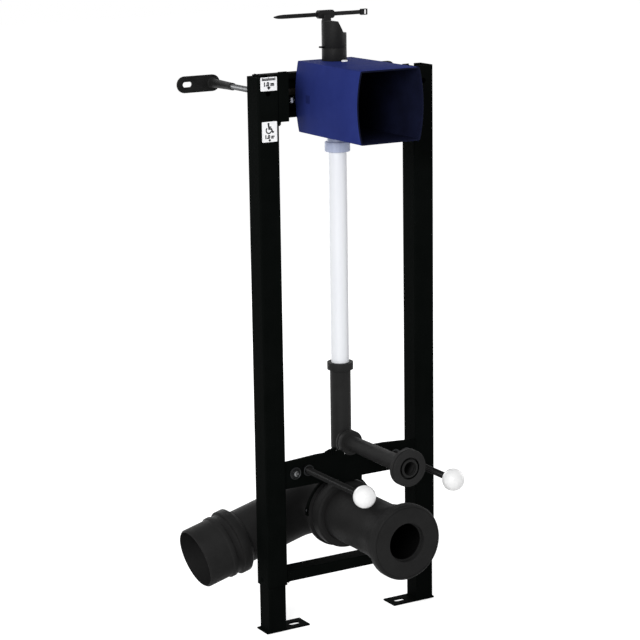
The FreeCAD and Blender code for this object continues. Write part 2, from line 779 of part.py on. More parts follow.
def main():
    os.makedirs("parts", exist_ok=True)
    sided = {"leg": leg, "foot_plate": foot_plate, "upright": upright, "end_plate": end_plate,
             "bowl_rod": bowl_rod, "rod_nuts": rod_nuts, "rod_ball": ball, "plate_screw": plate_screw,
             "box_bracket": box_bracket, "box_arm": box_arm, "anchor_rod": anchor_rod,
             "anchor_nuts": anchor_nuts, "anchor_sleeve": anchor_sleeve, "anchor_plate": anchor_plate}
    for name, make in sided.items():
        save(make(LEFT_HAND), "left_" + name)
        save(make(RIGHT_HAND), "right_" + name)
    single = {"lower_crossbar": lower_crossbar, "mounting_plate": mounting_plate, "flush_pipe": flush_pipe,
              "flush_nut": flush_nut, "flush_bend": flush_bend, "flush_connector": flush_connector,
              "flush_seal": flush_seal, "waste_collar": waste_collar, "waste_bend": waste_bend,
              "branch_reducer": branch_reducer, "valve_box": valve_box, "box_rail": box_rail,
              "inlet_base": inlet_base, "inlet_cap": inlet_cap, "tie_post": tie_post, "cable_tie": cable_tie}
    for name, make in single.items():
        save(make(), name)


main()
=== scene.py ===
import math

import bmesh
import bpy
from mathutils import Matrix, Vector


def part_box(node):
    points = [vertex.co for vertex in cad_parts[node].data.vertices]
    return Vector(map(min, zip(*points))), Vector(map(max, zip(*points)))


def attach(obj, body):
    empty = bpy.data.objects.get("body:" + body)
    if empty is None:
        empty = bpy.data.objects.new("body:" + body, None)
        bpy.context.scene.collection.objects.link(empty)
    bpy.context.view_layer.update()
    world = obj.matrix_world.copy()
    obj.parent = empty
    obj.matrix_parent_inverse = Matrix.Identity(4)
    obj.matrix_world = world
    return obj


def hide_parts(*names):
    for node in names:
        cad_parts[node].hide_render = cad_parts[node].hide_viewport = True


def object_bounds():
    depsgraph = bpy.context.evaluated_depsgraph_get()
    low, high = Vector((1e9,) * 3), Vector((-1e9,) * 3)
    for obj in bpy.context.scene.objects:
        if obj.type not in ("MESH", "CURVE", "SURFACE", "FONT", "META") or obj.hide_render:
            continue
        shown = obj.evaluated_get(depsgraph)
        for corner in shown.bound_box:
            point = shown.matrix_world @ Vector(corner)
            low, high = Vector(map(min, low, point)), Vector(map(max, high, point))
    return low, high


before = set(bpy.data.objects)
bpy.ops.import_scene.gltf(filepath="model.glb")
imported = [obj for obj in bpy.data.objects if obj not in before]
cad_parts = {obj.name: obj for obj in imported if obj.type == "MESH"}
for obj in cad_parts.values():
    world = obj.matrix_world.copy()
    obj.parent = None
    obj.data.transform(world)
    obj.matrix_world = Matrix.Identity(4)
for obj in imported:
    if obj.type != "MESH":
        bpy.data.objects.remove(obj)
cad_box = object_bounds()


# Uprights
# Square steel tubes of 40 mm with rounded edges, sawn to length, slotted at the top for the wall
# anchors and powder coated black. All other steel parts of the frame are welded or bolted to them.

mm = 0.001
hands = {"left": -1, "right": 1}


def linear(hex_code):
    """An sRGB hex colour as linear RGBA."""
    channels = [int(hex_code[i:i + 2], 16) / 255 for i in (1, 3, 5)]
    return [c / 12.92 if c <= 0.04045 else ((c + 0.055) / 1.055) ** 2.4 for c in channels] + [1]


def add_node(tree, kind, settings=(), links=()):
    """One shader node: settings are its properties and socket values, links the sockets that feed it."""
    made = tree.nodes.new(kind)
    for name, value in dict(settings).items():
        if isinstance(name, str) and hasattr(made, name):
            setattr(made, name, value)
        else:
            made.inputs[name].default_value = value
    for name, source in dict(links).items():
        tree.links.new(source, made.inputs[name])
    return made


def surface(name, dark, light, patch, grain, depth, smooth, rough, shader, slot=None, stretch=(1, 1, 1)):
    """A finish whose tone and gloss drift over patches and whose relief is a finer grain.

    patch, grain and depth are in millimetres, smooth and rough the limits of the roughness, shader the
    constants of the Principled BSDF, slot the record's name for the finish, and stretch the pattern's
    scale along each axis. Tool marks and moulded grain are a tenth of a millimetre or so on the real
    pieces, too fine to show, and are drawn at 0.6 to 3 mm unless the finish's own comment says more.
    """
    material = bpy.data.materials.new(name)
    material.use_nodes = True
    tree = material.node_tree
    tree.nodes.clear()
    place = add_node(tree, "ShaderNodeTexCoord")
    along = add_node(tree, "ShaderNodeMapping", {"Scale": stretch}, {"Vector": place.outputs["Object"]})
    drift = add_node(tree, "ShaderNodeTexNoise", {"Scale": 1 / (patch * mm), "Detail": 4, "Roughness": 0.6},
                     {"Vector": along.outputs[0]})
    fine = add_node(tree, "ShaderNodeTexNoise", {"Scale": 1 / (grain * mm), "Detail": 2, "Roughness": 0.55},
                    {"Vector": along.outputs[0]})
    tone = add_node(tree, "ShaderNodeValToRGB", (), {"Fac": drift.outputs["Fac"]})
    tone.color_ramp.elements[0].position = 0.3
    tone.color_ramp.elements[0].color = linear(dark)
    tone.color_ramp.elements[1].position = 0.7
    tone.color_ramp.elements[1].color = linear(light)
    both = add_node(tree, "ShaderNodeMath", {"operation": "ADD"},
                    {0: drift.outputs["Fac"], 1: fine.outputs["Fac"]})
    gloss = add_node(tree, "ShaderNodeMapRange",
                     {"From Min": 0.7, "From Max": 1.3, "To Min": smooth, "To Max": rough},
                     {"Value": both.outputs[0]})
    relief = add_node(tree, "ShaderNodeBump", {"Strength": 1.0, "Distance": depth * mm},
                      {"Height": fine.outputs["Fac"]})
    body = add_node(tree, "ShaderNodeBsdfPrincipled", shader,
                    {"Base Color": tone.outputs["Color"], "Roughness": gloss.outputs["Result"],
                     "Normal": relief.outputs["Normal"]})
    add_node(tree, "ShaderNodeOutputMaterial", (), {"Surface": body.outputs[0]})
    if slot:
        material["slot"] = slot
    return material


def finish(material, *names):
    """Gives CAD nodes their material."""
    for name in names:
        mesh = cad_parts[name].data
        mesh.materials.clear()
        mesh.materials.append(material)


def soften(width, *names):
    """Breaks the sharp edges of CAD nodes by a width in millimetres, as deburring and the coat do."""
    for name in names:
        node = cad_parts[name]
        weld = node.modifiers.new("weld", "WELD")
        weld.merge_threshold = 0.005 * mm
        bevel = node.modifiers.new("soften", "BEVEL")
        bevel.width = width * mm
        bevel.segments = 2
        bevel.limit_method = "ANGLE"
        bevel.angle_limit = math.radians(40)
        bevel.harden_normals = True


# Powder coat: cured from dry powder, so it has a soft orange peel of about 1.5 mm, drawn here at 4 mm
# to show, and almost no reflection face on.
powder_coat = surface("powder_coated_steel", "#070908", "#0b0d0c", patch=60, grain=4, depth=0.06,
                      smooth=0.5, rough=0.66, shader={"IOR": 1.5, "Specular IOR Level": 0.004},
                      slot="powder_coated_steel")
for hand in hands:
    finish(powder_coat, hand + "_upright")
    soften(0.6, hand + "_upright")


# Labels
# Two white vinyl stickers on the front of the left upright with the mark for the 1.0 m line: the upper
# one for a standing height, the lower one for a wheelchair user's.

foot_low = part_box("left_foot_plate")[0]
far_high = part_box("right_foot_plate")[1]
upright_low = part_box("left_upright")[0]
frame_middle = Vector(((foot_low.x + far_high.x) / 2, upright_low.y, foot_low.z))


def spot(x, y, z):
    """A point in mm from the frame's middle, the uprights' front and the floor, as a place in metres."""
    return frame_middle + Vector((x, y, z)) * mm


def add_piece(name, points, faces, body, material, sharp=35):
    """A mesh from points in millimetres, welded, with outward normals and its sharp edges kept."""
    mesh = bpy.data.meshes.new(name)
    mesh.from_pydata([spot(*point) for point in points], [], faces)
    work = bmesh.new()
    work.from_mesh(mesh)
    bmesh.ops.remove_doubles(work, verts=work.verts, dist=0.002 * mm)
    bmesh.ops.recalc_face_normals(work, faces=work.faces)
    work.to_mesh(mesh)
    work.free()
    mesh.shade_smooth()
    mesh.set_sharp_from_angle(angle=math.radians(sharp))
    mesh.materials.append(material)
    piece = bpy.data.objects.new(name, mesh)
    bpy.context.scene.collection.objects.link(piece)
    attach(piece, body)
    return piece


def add_flat(name, outlines, y0, y1, body, material):
    """Closed outlines of (x, z), each pushed out from y0 to y1, as one piece."""
    points = []
    faces = []
    for outline in outlines:
        start = len(points)
        count = len(outline)
        points += [(x, y, z) for y in (y0, y1) for x, z in outline]
        faces += [list(range(start, start + count)), list(range(start + count, start + 2 * count))]
        for i in range(count):
            j = (i + 1) % count
            faces.append((start + i, start + j, start + count + j, start + count + i))
    return add_piece(name, points, faces, body, material)


def rounded(outline, steps=4):
    """A closed outline of (a, b, size) whose corners are arcs that set in by their size."""
    points = []
    for i, (a, b, size) in enumerate(outline):
        corner = Vector((a, b))
        before = Vector(outline[i - 1][:2])
        after = Vector(outline[(i + 1) % len(outline)][:2])
        if not size:
            points.append(tuple(corner))
            continue
        start = corner + (before - corner).normalized() * size
        end = corner + (after - corner).normalized() * size
        for k in range(steps + 1):
            t = k / steps
            points.append(tuple(start.lerp(corner, t).lerp(corner.lerp(end, t), t)))
    return points


def line(x0, z0, x1, z1, width):
    """A straight printed stroke with rounded ends, as an outline."""
    start = Vector((x0, z0))
    end = Vector((x1, z1))
    along = (end - start).normalized() * width / 2
    side = Vector((-along.y, along.x))
    corners = [start - along - side, end + along - side, end + along + side, start - along + side]
    return rounded([(c.x, c.y, width * 0.3) for c in corners])


def arc(x, z, radius, start, end, steps):
    """Points (x, z) along an arc between two angles in degrees."""
    angles = [math.radians(start + (end - start) * i / steps) for i in range(steps + 1)]
    return [(x + radius * math.cos(a), z + radius * math.sin(a)) for a in angles]


# Cast vinyl under a satin laminate: an even bright white with a soft sheen.
label_vinyl = surface("printed_white_vinyl", "#f8f9fa", "#fefefe", patch=8, grain=1.2, depth=0.01,
                      smooth=0.35, rough=0.5, shader={"IOR": 1.5})
# Screen printing ink, which dries matt, so its black stays dull beside the sheen of the vinyl.
label_ink = surface("matt_black_printing_ink", "#0e0f13", "#191a1f", patch=3, grain=0.6, depth=0.005,
                    smooth=0.55, rough=0.7, shader={"IOR": 1.48, "Specular IOR Level": 0.3})
label_middle = -154.3
label_thickness = 0.2
ink_thickness = 0.05
standing_middle = 971.8
seated_middle = 891.4
labels = {"label_standing": (31.5, 23.0, standing_middle), "label_seated": (29.0, 34.4, seated_middle)}
for name, (width, height, z) in labels.items():
    corners = [(-1, -1), (1, -1), (1, 1), (-1, 1)]
    edge = rounded([(label_middle + a * width / 2, z + b * height / 2, 1.5) for a, b in corners])
    add_flat(name, [edge], -label_thickness, 0, "frame", label_vinyl)

# The height in metres, printed on both in a bold face whose digits are shorter than its font size.
font_per_digit = 1.45
boldness = 0.6
numbers = {"standing": (standing_middle - 0.5, 6.3), "seated": (seated_middle - 8.6, 5.8)}
for name, (z, digit) in numbers.items():
    words = bpy.data.curves.new("height_" + name, "FONT")
    words.body = "1,0 m"
    words.size = digit * font_per_digit * mm
    words.align_x = "CENTER"
    words.align_y = "CENTER"
    words.extrude = ink_thickness / 2 * mm
    words.offset = boldness * mm
    drawn = bpy.data.objects.new("height_" + name, words)
    mesh = bpy.data.meshes.new_from_object(drawn)
    bpy.data.objects.remove(drawn)
    place = spot(label_middle, -label_thickness - ink_thickness / 2, z)
    mesh.transform(Matrix.Translation(place) @ Matrix.Rotation(math.radians(90), 4, "X"))
    mesh.materials.clear()
    mesh.materials.append(label_ink)
    print_piece = bpy.data.objects.new("height_" + name, mesh)
    bpy.context.scene.collection.objects.link(print_piece)
    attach(print_piece, "frame")

# Row of ruler ticks over the upper number, arrows under both, and the common wheelchair sign.
tick_gap = 2.4
tick_foot = standing_middle + 6.6
marks = []
for i in range(-5, 6):
    x = label_middle + tick_gap * i
    marks.append(line(x, tick_foot, x, tick_foot + (3.1 if i % 5 == 0 else 2.3), 1.9))
ruler_z = standing_middle + 6.5
marks.append(line(label_middle - 12.4, ruler_z, label_middle + 12.4, ruler_z, 1.1))
arrow = [(-2.9, 0), (-1.5, 0), (-1.5, 1.2), (1.5, 1.2), (1.5, 0), (2.9, 0), (0, -3.3)]
for z, size in ((standing_middle - 5.6, 1.35), (seated_middle - 13.6, 1.0)):
    marks.append([(label_middle + size * a, z + size * b) for a, b in arrow])
head_radius = 1.9
marks.append(arc(label_middle - 1.9, seated_middle + 13.6, head_radius, 0, 340, 17))
wheel_x = label_middle - 1.6
wheel_z = seated_middle + 2.6
wheel_radius = 5.0
wheel_width = 2.2
figure = [(-0.2, 8.9, 0.7, 2.6, 3.1), (0.7, 2.4, 5.0, 2.2, 2.7), (5.0, 2.2, 7.6, -3.4, 2.7),
          (7.6, -3.4, 9.2, -3.0, 2.2), (0.2, 5.6, 4.0, 5.3, 2.2)]
for x0, z0, x1, z1, width in figure:
    marks.append(line(wheel_x + x0, wheel_z + z0, wheel_x + x1, wheel_z + z1, width))
tyre = arc(wheel_x, wheel_z, wheel_radius + wheel_width / 2, 128, 345, 28)
hub = arc(wheel_x, wheel_z, wheel_radius - wheel_width / 2, 128, 345, 28)
marks.append(tyre + hub[::-1])
add_flat("label_marks", marks, -label_thickness - ink_thickness, -label_thickness, "frame", label_ink)


# Legs and foot plates
# Square tubes that slide in the uprights, each welded all round to a flat steel plate with a slot for
# its floor bolt. A headless screw in the side of each upright clamps its leg.

rightward = Vector((1, 0, 0))
backward = Vector((0, 1, 0))
upward = Vector((0, 0, 1))

for hand in hands:
    finish(powder_coat, hand + "_leg", hand + "_foot_plate")
    soften(0.5, hand + "_foot_plate")


def add_round(name, outline, way, across, body, material, steps=48, swell=None, sharp=35):
    """A round form about a way: outline is a row of (distance, radius) in millimetres.

    way gives the centre and direction at a distance, across is square to it all along, and swell may
    change a radius by distance and angle.
    """
    points = []
    faces = []
    for distance, radius in outline:
        centre, along = way(distance)
        side = across.cross(along)
        for i in range(steps):
            angle = 2 * math.pi * i / steps
            size = swell(distance, angle, radius) if swell else radius
            points.append(centre + (side * math.cos(angle) + across * math.sin(angle)) * size)
    for row in range(len(outline) - 1):
        for i in range(steps):
            j = (i + 1) % steps
            faces.append((row * steps + i, row * steps + j, (row + 1) * steps + j, (row + 1) * steps + i))
    return add_piece(name, points, faces, body, material, sharp)


def straight(start, direction):
    """The way along a straight axis from a point."""
    return lambda distance: (Vector(start) + direction * distance, direction)


def add_turned(name, outline, start, direction, body, material, **more):
    """A round form on a straight axis that runs level or upright from a point."""
    across = backward if direction.z else upward
    return add_round(name, outline, straight(start, direction), across, body, material, **more)


def way_round(corners):
    """The way along straight runs from corner to corner, and its length."""
    corners = [Vector(corner) for corner in corners]
    runs = [(b - a).length for a, b in zip(corners, corners[1:])]
    reach = 0.6

    def point(distance):
        for a, b, run in zip(corners, corners[1:], runs):
            if distance <= run:
                return a.lerp(b, distance / run)
            distance -= run
        return b.lerp(a, -distance / run)

    def way(distance):
        return point(distance), (point(distance + reach) - point(distance - reach)).normalized()

    return way, sum(runs)


def add_bead(name, corners, across, radius, body):
    """A weld bead along corners, with a ripple about every 1.9 mm, as the torch is moved on in steps."""
    way, length = way_round(corners)
    closed = corners[0] == corners[-1]
    ripples = round(length / 1.9)
    rows = ripples * 5
    outline = []
    for i in range(rows + 1):
        t = i / rows
        size = radius * (1 + 0.13 * math.sin(2 * math.pi * ripples * t)
                         + 0.07 * math.sin(2 * math.pi * 7 * t))
        if not closed:
            size *= min(1, 0.35 + 8 * min(t, 1 - t))
        outline.append((length * t, size))
    if not closed:
        outline = [(0, 0)] + outline + [(length, 0)]
    add_round(name, outline, way, across, body, powder_coat, steps=12, sharp=80)


def hexagon(across, reach=math.inf):
    """The swell that cuts a turned form to six flats of that width, as far out as a radius of reach."""
    sixth = math.radians(60)
    return lambda s, a, r: r if r > reach else min(r, across / 2 / math.cos(a % sixth - sixth / 2))


leg_x = 155.0
tube_half = 20.0
leg_half = 17.25
plate_top = 3.0
key_corner = 2.3
key_width = 2 * key_corner * math.cos(math.radians(30))
for hand, sign in hands.items():
    x = sign * leg_x
    near = tube_half - leg_half
    far = tube_half + leg_half
    loop = [(x, near, plate_top), (x + leg_half, near, plate_top), (x + leg_half, far, plate_top),
            (x - leg_half, far, plate_top), (x - leg_half, near, plate_top), (x, near, plate_top)]
    add_bead(hand + "_foot_weld", loop, upward, 1.9, hand + "_foot")
    # Set screw, with its hexagon socket just inside the tube's face.
    set_screw = [(0, 0), (0, key_corner), (2.2, key_corner), (2.2, 3.3), (2.0, 3.6), (-1.4, 3.8), (-1.4, 0)]
    start = (sign * (leg_x + tube_half - 1.2), 24, 96.5)
    add_turned(hand + "_leg_set_screw", set_screw, start, rightward * sign, "frame", powder_coat, steps=24,
               swell=hexagon(key_width, key_corner))


# Lower crossbar and its end plates
# A rectangular tube between two chamfered plates, welded round its ends, the plates welded to the
# uprights' inner faces.

finish(powder_coat, "lower_crossbar")
soften(0.4, "left_end_plate", "right_end_plate")
crossbar_end = 132.0
upright_inner = 135.0
bar_front = 2.5
bar_back = 37.5
bar_low = 90.0
bar_high = 110.0
for hand, sign in hands.items():
    finish(powder_coat, hand + "_end_plate")
    x = sign * crossbar_end
    loop = [(x, tube_half, bar_low), (x, bar_back, bar_low), (x, bar_back, bar_high),
            (x, bar_front, bar_high), (x, bar_front, bar_low), (x, tube_half, bar_low)]
    add_bead(hand + "_crossbar_weld", loop, rightward, 1.5, "frame")
    x = sign * upright_inner
    for place, z in {"upper": 125, "lower": 84}.items():
        add_bead(f"{hand}_end_plate_{place}_weld", [(x, 11.5, z), (x, 28.5, z)], rightward, 1.8, "frame")


# Mounting plate
# A 6 mm steel plate welded between the uprights that carries the bowl. Its tongue runs back over the
# waste socket as a curved strip and ends in the half round clamp over the ring of the bend.

finish(powder_coat, "mounting_plate")
soften(0.5, "mounting_plate")
plate_front = 3.0
plate_rear = 9.0
for hand, sign in hands.items():
    x = sign * upright_inner
    for place, y in {"front": plate_front, "rear": plate_rear}.items():
        add_bead(f"{hand}_plate_{place}_weld", [(x, y, 264), (x, y, 307)], backward, 1.6, "frame")

# Ribbed lug on the plate's upper edge that keeps the flush bend from turning.
rib_gap = 4.3
rib_width = 2.4
rib_foot = 308.0
for i in range(5):
    x = -51 + rib_gap * i
    top = 316 + 1.2 * i
    rib = [(x, rib_foot, 0), (x + rib_width, rib_foot, 0), (x + rib_width, top, 0.8), (x, top - 0.6, 0.8)]
    add_flat(f"plate_lug_rib_{i + 1}", [rounded(rib)], 1.6, 9, "frame", powder_coat)
back_of_lug = [(-52, 311, 0), (-30, 311, 0), (-30, 319, 1.5), (-45, 317.6, 2), (-52, 314, 0.5)]
add_flat("plate_lug", [rounded(back_of_lug)], 4, 8.4, "frame", powder_coat)

# Ears that the clamp's half ring ends in, each pressed flat for its rivet.
ear_x = 67.2
ear_front = 42.6
ear_rear = 50.4
for hand, sign in hands.items():
    x = sign * ear_x
    ear = [(x - 1.4, 189.5, 0.5), (x + 1.4, 189.5, 0.5), (x + sign * 3.2 + 1.0, 197, 1.2),
           (x + sign * 1.2 + 1.0, 204, 1.2), (x + sign * 0.2 - 1.4, 204, 0.8)]
    add_flat(hand + "_clamp_ear", [rounded(ear)], ear_front, ear_rear, "frame", powder_coat)

# Zinc plate on turned steel: grey with a faint cloudy gloss, brighter where the tool left it smooth.
zinc_plate = surface("zinc_plated_turned_steel", "#6c6d6e", "#939495", patch=9, grain=0.8, depth=0.02,
                     smooth=0.24, rough=0.4, shader={"Metallic": 1.0}, slot="zinc_plated_steel")
# The same plating on blanks that were stamped or cut and tumbled, not turned: dull, and painted much darker
# as shade for the dark surroundings it reflects.
painted_shade_zinc = surface("tumbled_zinc_painted_shade", "#28292a", "#3a3b3c", patch=7, grain=0.8, depth=0.01,
                    smooth=0.34, rough=0.48, shader={"Metallic": 1.0}, slot="zinc_plated_steel")
rivet_x = 70.0
rivet_z = 200.5
rivet = [(0, 0), (0, 2.2), (0.8, 2.1), (1.4, 1.5), (1.7, 0)]
for hand, sign in hands.items():
    add_turned(hand + "_clamp_rivet", rivet, (sign * rivet_x, ear_front, rivet_z), -backward, "frame",
               painted_shade_zinc, steps=24)

# Screws through the plate: a round washer with a raised rim and a low head with a hexagon socket.
screw_x = 114.5
screw_z = 287.0
screw_key = 4.0
shank = [(21, 0), (21, 3.4), (20.4, 4), (3, 4), (2.0, 4.6), (2.0, 5.0), (-1.0, 5.0), (-2.0, 4.6),
         (-2.6, 3.6), (-2.6, 2.4), (-2.1, key_corner), (0.4, key_corner), (0.4, 0)]
washer = [(3, 4.2), (3, 10.6), (2.2, 11), (1.2, 10.8), (0.9, 10.2), (1.2, 9.6), (2.2, 8.8), (2.2, 4.2),
          (3, 4.2)]
for hand, sign in hands.items():
    start = (sign * screw_x, 0, screw_z)
    screw_piece = add_turned(hand + "_plate_screw_turned", shank, start, backward, "frame", zinc_plate,
                             swell=hexagon(screw_key, key_corner))
    washer_piece = add_turned(hand + "_plate_screw_washer", washer, start, backward, "frame", painted_shade_zinc)
    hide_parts(hand + "_plate_screw")
    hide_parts(hand + "_plate_screw")


# Rods for the bowl
# M12 threaded steel rods, black passivated, screwed through a zinc plated bush in front of the plate
# and held by a hexagon nut behind it. A white ball on each free end keeps the thread clean.

def threaded(diameter, pitch):
    """The swell of a metric thread of that pitch on a rod."""
    depth = 0.6 * pitch

    def swell(s, a, r):
        slope = abs(2 * ((s / pitch - a / (2 * math.pi)) % 1) - 1)
        return min(r, diameter / 2 - depth * min(1, max(0, 1.4 * slope - 0.2)))

    return swell


def add_threaded_rod(name, diameter, pitch, start, length, body, material):
    """A rod along Y with a rolled thread all along and chamfered ends."""
    rows = round(length * 6 / pitch)
    chamfer = 0.6 * pitch
    outline = [(0, 0)]
    for i in range(rows + 1):
        s = length * i / rows
        outline.append((s, diameter / 2 - max(0, chamfer - min(s, length - s))))
    outline.append((length, 0))
    return add_turned(name, outline, start, backward, body, material, steps=24,
                      swell=threaded(diameter, pitch), sharp=60)


def add_nut(name, across, height, bore, start, body, material):
    """A hexagon nut along Y, turned to a chamfer at both ends."""
    wide = across / 2 / math.cos(math.radians(30))
    face = across / 2 * 0.97
    edge = (wide - across / 2) * 0.6
    rim = [(edge * t, face + (wide - face) * math.sin(math.pi / 2 * t)) for t in (0, 0.25, 0.5, 0.75, 1)]
    outline = [(0.6, bore / 2), (0, bore / 2 + 0.6)] + rim + [(height - s, r) for s, r in rim[::-1]]
    outline += [(height, bore / 2 + 0.6), (height - 0.6, bore / 2), (0.6, bore / 2)]
    return add_turned(name, outline, start, backward, body, material, steps=72, swell=hexagon(across))


# Black passivated and oiled rolled thread: the oil film puts a bright line along a near black rod.
black_steel = surface("black_passivated_steel", "#090909", "#101010", patch=12, grain=1.5, depth=0.01,
                      smooth=0.18, rough=0.3, shader={"IOR": 1.5, "Specular IOR Level": 0.1},
                      slot="black_steel")
# Polypropylene moulded in a polished tool: white, glossy, with hardly any texture.
white_ball = surface("polished_white_polypropylene", "#eeeeee", "#f5f5f5", patch=14, grain=3, depth=0.01,
                     smooth=0.14, rough=0.24, shader={"IOR": 1.49}, slot="white_cap_plastic")
rod_x = 90.0
rod_z = 289.5
rod_start = -194.5
rod_length = 220.5
ball_radius = 19.5
ball_middle = -187.0
# Ball with a short collar round the mouth that grips the rod.
mouth = 8.2
mouth_angle = math.pi - math.asin(mouth / ball_radius)
ball_turns = [math.pi - mouth_angle * i / 32 for i in range(33)]
ball = [(ball_radius * math.cos(a), ball_radius * math.sin(a)) for a in ball_turns]
ball += [(19.3, mouth), (19.5, mouth - 0.3), (19.5, 6.4), (19.1, 6.0), (-7.5, 6.0), (-7.5, 0)]
bush = rounded([(-3, 7.5, 0.4), (1, 7.5, 0.3), (1, 6, 0), (3, 6, 0), (3, 10, 0.3), (-3, 10, 0.9)])
for hand, sign in hands.items():
    x = sign * rod_x
    rod_piece = add_threaded_rod(hand + "_bowl_rod_thread", 12, 1.75, (x, rod_start, rod_z), rod_length,
                                 "frame", black_steel)
    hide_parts(hand + "_bowl_rod")
    bush_piece = add_turned(hand + "_rod_bush", bush + bush[:1], (x, 0, rod_z), backward, "frame",
                            painted_shade_zinc)
    nut_piece = add_nut(hand + "_rod_nut", 19, 10, 12, (x, plate_rear, rod_z), "frame", black_steel)
    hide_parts(hand + "_rod_nuts")
    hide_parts(hand + "_rod_nuts")
    ball_piece = add_turned(hand + "_rod_ball_moulding", ball, (x, ball_middle, rod_z), backward, "frame",
                            white_ball, steps=64)
    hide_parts(hand + "_rod_ball")


# Waste connector
# Black polyethylene moulding: a thick front ring that the bowl's outlet enters, a neck that flares
# down to the pipe, and the plain pipe that slides into the bend's socket.

# Polyethylene from a spark eroded tool: dull, with a soft grain of about 1 mm, drawn at 5 mm to show.
polyethylene = surface("moulded_black_polyethylene", "#1c1c1c", "#232323", patch=45, grain=5, depth=0.08,
                       smooth=0.5, rough=0.66, shader={"IOR": 1.5, "Specular IOR Level": 0.05},
                       slot="black_polyethylene")
# The bore is shaped by a polished steel core, so it is smooth; its deeper black than the outside is painted
# shade inside the pipe.
painted_shade_bore_polyethylene = surface("bore_painted_shade_polyethylene", "#070707", "#0c0c0c", patch=45, grain=5,
                            depth=0.02, smooth=0.4, rough=0.52,
                            shader={"IOR": 1.5, "Specular IOR Level": 0.04}, slot="black_polyethylene")
waste_z = 189.5
connector_front = -179.0
waste_steps = 112


def flare(start, start_radius, end, end_radius, steps=20):
    """A neck between two radii that leaves and meets both runs smoothly."""
    rows = []
    for i in range(steps + 1):
        t = i / steps
        ease = t * t * (3 - 2 * t)
        rows.append((start + (end - start) * t, start_radius + (end_radius - start_radius) * ease))
    return rows


neck = flare(17, 59.7, 87, 49.5)
neck_inside = flare(17, 56.2, 87, 46)[::-1]
lip = [(10, 56.2), (10, 31.8), (9.4, 31.4), (8.6, 32.2), (8.2, 34.5), (0.8, 34.5), (0.2, 34.8)]
front_ring = [(0, 35.4), (0, 61.4), (0.8, 61.8), (0.8, 62.4), (0.1, 62.8), (0, 63.6), (0.3, 65),
              (1.2, 66.2), (2.6, 66.9), (4, 67), (15.8, 67), (16.6, 66.7), (17, 66)]
pipe_end = [(214.6, 49.5), (215, 49.1), (215, 46.4), (214.6, 46)]
tube = lip + front_ring + neck + pipe_end + neck_inside + lip[:1]
connector_piece = add_turned("waste_connector_moulding", tube, (0, connector_front, waste_z), backward,
                             "frame", polyethylene, steps=waste_steps)
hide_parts("waste_collar")
connector_piece.data.materials.append(painted_shade_bore_polyethylene)
# What the core shapes, in that darker finish of painted shade: the back of the lip, and all behind the
# pipe's end.
lip_rows = 3
bore_row = len(lip + front_ring + neck) + 3
for face in connector_piece.data.polygons:
    row = face.index // waste_steps
    if row < lip_rows or row >= bore_row:
        face.material_index = 1


# Waste bend and branch
# The bend's socket takes the connector and its ring sits in the frame's clamp. The branch falls to the
# left and ends in a welded reducer with a ring, a rib and a chamfered end for the soil pipe's seal.

bend_corner = Vector((0, 122, waste_z))
bend_radius = 62.0
fall = math.radians(15)
branch = Vector((-math.cos(fall), 0, -math.sin(fall)))
bend_axis = backward.cross(branch)


def round_bend(start, corner, radius, onward):
    """The way along a straight run, a square bend of that radius before the corner, and a run onward."""
    first = (corner - start).normalized()
    run = (corner - start).length - radius
    centre = corner - first * radius + onward * radius

    def way(distance):
        if distance <= run:
            return start + first * distance, first
        turn = (distance - run) / radius
        if turn < math.pi / 2:
            return (centre + (first * math.sin(turn) - onward * math.cos(turn)) * radius,
                    first * math.cos(turn) + onward * math.sin(turn))
        return corner + onward * (distance - run - radius * math.pi / 2 + radius), onward

    return way, run + radius * math.pi / 2 - radius


socket_start = Vector((0, 14, waste_z))
bend_way, to_branch = round_bend(socket_start, bend_corner, bend_radius, branch)
reducer_start = 170.0
pipe_outer = 49.0
pipe_inner = 45.5
pipe_start = 44.0
pipe_steps = 70
pipe_length = to_branch + reducer_start - pipe_start
pipe_rows = [pipe_start + pipe_length * i / pipe_steps for i in range(pipe_steps + 1)]
socket = [(0, 56.5), (0.3, 58.6), (1.2, 60.4), (2.6, 61.7), (4.4, 62.3), (7, 62.5), (19, 62.5), (21.6, 62.3),
          (23.4, 61.7), (24.8, 60.8), (26, 60.2), (26.4, 60), (28.8, 60)]
clamp_ring = [(29, 60.3), (29, 65.5), (29.5, 66), (35.5, 66), (36, 65.6), (36.3, 65), (40.6, 49.6),
              (41.4, 49.1), (43, pipe_outer)]
socket_inside = [(22.4, pipe_inner), (22, 45.9), (22, 49.7), (0.6, 49.7), (0, 50.4), (0, 56.5)]
bend = socket + clamp_ring + [(s, pipe_outer) for s in pipe_rows]
bend += [(s, pipe_inner) for s in pipe_rows[::-1]] + socket_inside
bend_piece = add_round("waste_bend_moulding", bend, bend_way, bend_axis, "frame", polyethylene,
                       steps=waste_steps)
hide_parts("waste_bend")

# Reducer, welded to the branch by a hot plate, which leaves a small double bead round the joint.
reducer = [(reducer_start, pipe_inner), (reducer_start, pipe_outer), (170.4, 49.6), (179.4, 59.5),
           (180.2, 60), (194, 60), (194.5, 59.8), (196.2, 55.3), (196.8, 55), (206, 55), (206.6, 55.2),
           (208.2, 57.3), (208.8, 57.5), (215, 57.5), (215.6, 57.3), (217.2, 55.2), (217.8, 55), (260.8, 55),
           (261.2, 54.8), (263.6, 52.8), (264, 52.3), (264, 51.8), (263.6, 51.5), (180, 51.5),
           (reducer_start, pipe_inner)]
branch_way = straight(bend_corner, branch)
reducer_piece = add_round("branch_reducer_moulding", reducer, branch_way, bend_axis, "frame", polyethylene,
                          steps=waste_steps)
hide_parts("branch_reducer")
seam = rounded([(168.6, 48.8, 0), (168.9, 49.7, 0.4), (169.8, 49.7, 0.3), (reducer_start, 49.2, 0),
                (170.2, 49.7, 0.3), (171.1, 50.3, 0.4), (171.4, 48.8, 0)])
add_round("branch_butt_weld", seam + seam[:1], branch_way, bend_axis, "frame", polyethylene,
          steps=waste_steps)


